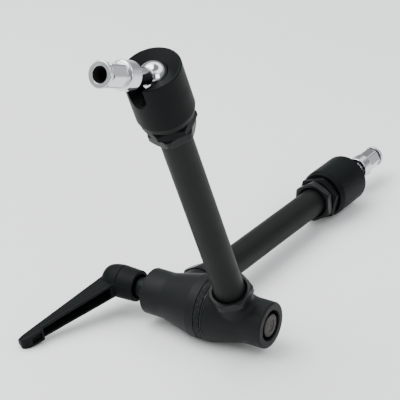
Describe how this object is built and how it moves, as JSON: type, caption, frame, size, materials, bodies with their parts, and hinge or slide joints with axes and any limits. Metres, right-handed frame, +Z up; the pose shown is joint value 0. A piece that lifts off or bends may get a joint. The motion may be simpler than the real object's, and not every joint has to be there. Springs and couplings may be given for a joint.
{
  "type": "grip arm",
  "caption": "Articulated friction arm with a clamping elbow, ball heads that carry threaded studs, and a ratchet lever that locks the joints together.",
  "frame": {"origin": "middle of the footprint at floor height, in the pose in which the arm is put down", "axes": "+X along the elbow's axis from the lever to the bolt's head, +Y the way the rear arm lies, +Z up"},
  "size_m": [0.1462, 0.4124, 0.2461],
  "materials": {
    "black_casting": "satin black coating on cast aluminium",
    "black_steel": "satin black finish",
    "tube_coat": "fine matt dark grey coating",
    "friction_lining": "mottled dark fibre lining",
    "handle_coat": "fine-textured black coating on a die casting",
    "chrome": "polished chrome plate",
    "bolt_steel": "dark oiled steel",
    "plain_steel": "plain turned steel",
    "pad_plastic": "black acetal"
  },
  "bodies": {
    "rear_arm": {"rear_housing": "black_casting", "friction_disc": "friction_lining", "rear_tube": "tube_coat", "rear_elbow_nut": "black_steel", "rear_head_nut": "black_steel", "rear_socket": "black_casting", "release_spring": "plain_steel"},
    "front_arm": {"front_housing": "black_casting", "wear_plate": "black_steel", "tie_bolt": "bolt_steel", "front_tube": "tube_coat", "front_elbow_nut": "black_steel", "front_head_nut": "black_steel", "front_socket": "black_casting"},
    "rear_wedge": {"rear_wedge": "plain_steel", "thrust_washer": "plain_steel"},
    "front_wedge": {"front_wedge": "plain_steel", "bolt_washer": "plain_steel"},
    "rear_rod": {"rear_push_rod": "plain_steel"},
    "front_rod": {"front_push_rod": "plain_steel", "front_pressure_pad": "pad_plastic"},
    "rear_pad": {"rear_pressure_pad": "pad_plastic"},
    "rear_ball": {"rear_ball": "chrome"},
    "rear_stud": {"rear_stud": "chrome"},
    "front_ball": {"front_ball": "chrome"},
    "front_stud": {"front_stud": "chrome"},
    "lever_insert": {"lever_insert": "plain_steel", "lever_screw": "bolt_steel"},
    "lever_handle": {"lever_handle": "handle_coat", "lever_spring": "plain_steel"}
  },
  "joints": [
    {"name": "elbow", "type": "hinge", "parent": "rear_arm", "child": "front_arm", "pos_m": [0.02711, -0.06453, 0.0215], "axis": [1, 0, 0], "continuous": true},
    {"name": "lever_turn", "type": "hinge", "parent": "rear_arm", "child": "lever_insert", "pos_m": [0.02711, -0.06453, 0.0215], "axis": [1, 0, 0], "range_deg": [-120, 0]},
    {"name": "lever_lift", "type": "slide", "parent": "lever_insert", "child": "lever_handle", "axis": [-1, 0, 0], "range_m": [0, 0.004], "stiffness_N_per_m": 800, "springref_m": -0.004, "deforming": ["lever_spring"]},
    {"name": "front_wedge_slide", "type": "slide", "parent": "front_arm", "child": "front_wedge", "axis": [1, 0, 0], "range_m": [0, 0.00026]},
    {"name": "rear_wedge_slide", "type": "slide", "parent": "rear_arm", "child": "rear_wedge", "axis": [-1, 0, 0], "range_m": [0, 0.00026]},
    {"name": "front_rod_slide", "type": "slide", "parent": "front_arm", "child": "front_rod", "axis": [0, 0.4147, -0.91], "range_m": [0, 0.00008]},
    {"name": "rear_rod_slide", "type": "slide", "parent": "rear_arm", "child": "rear_rod", "axis": [0, -0.9998, 0.0174], "range_m": [0, 0.00008]},
    {"name": "front_tilt", "type": "hinge", "parent": "front_arm", "child": "front_ball", "pos_m": [0.04894, -0.15543, 0.22096], "axis": [0.9936, -0.103, -0.0469], "range_deg": [-80, 44]},
    {"name": "front_roll", "type": "hinge", "parent": "front_ball", "child": "front_stud", "pos_m": [0.04894, -0.15543, 0.22096], "axis": [-0.05, -0.9371, 0.3454], "continuous": true},
    {"name": "rear_swivel", "type": "hinge", "parent": "rear_arm", "child": "rear_pad", "pos_m": [0.00528, 0.15464, 0.01769], "axis": [0, 0.9998, -0.0174], "continuous": true},
    {"name": "rear_tilt", "type": "hinge", "parent": "rear_pad", "child": "rear_ball", "pos_m": [0.00528, 0.15464, 0.01769], "axis": [0.8262, -0.0098, -0.5633], "range_deg": [-36, 32]},
    {"name": "rear_roll", "type": "hinge", "parent": "rear_ball", "child": "rear_stud", "pos_m": [0.00528, 0.15464, 0.01769], "axis": [0.019, 0.9998, 0.0105], "continuous": true}
  ],
  "couplings": [
    {"joint": "front_wedge_slide", "follows": "lever_turn", "m_per_rad": -0.0001194},
    {"joint": "rear_wedge_slide", "follows": "lever_turn", "m_per_rad": -0.0001194},
    {"joint": "front_rod_slide", "follows": "lever_turn", "m_per_rad": -0.00003581},
    {"joint": "rear_rod_slide", "follows": "lever_turn", "m_per_rad": -0.00003581}
  ]
}
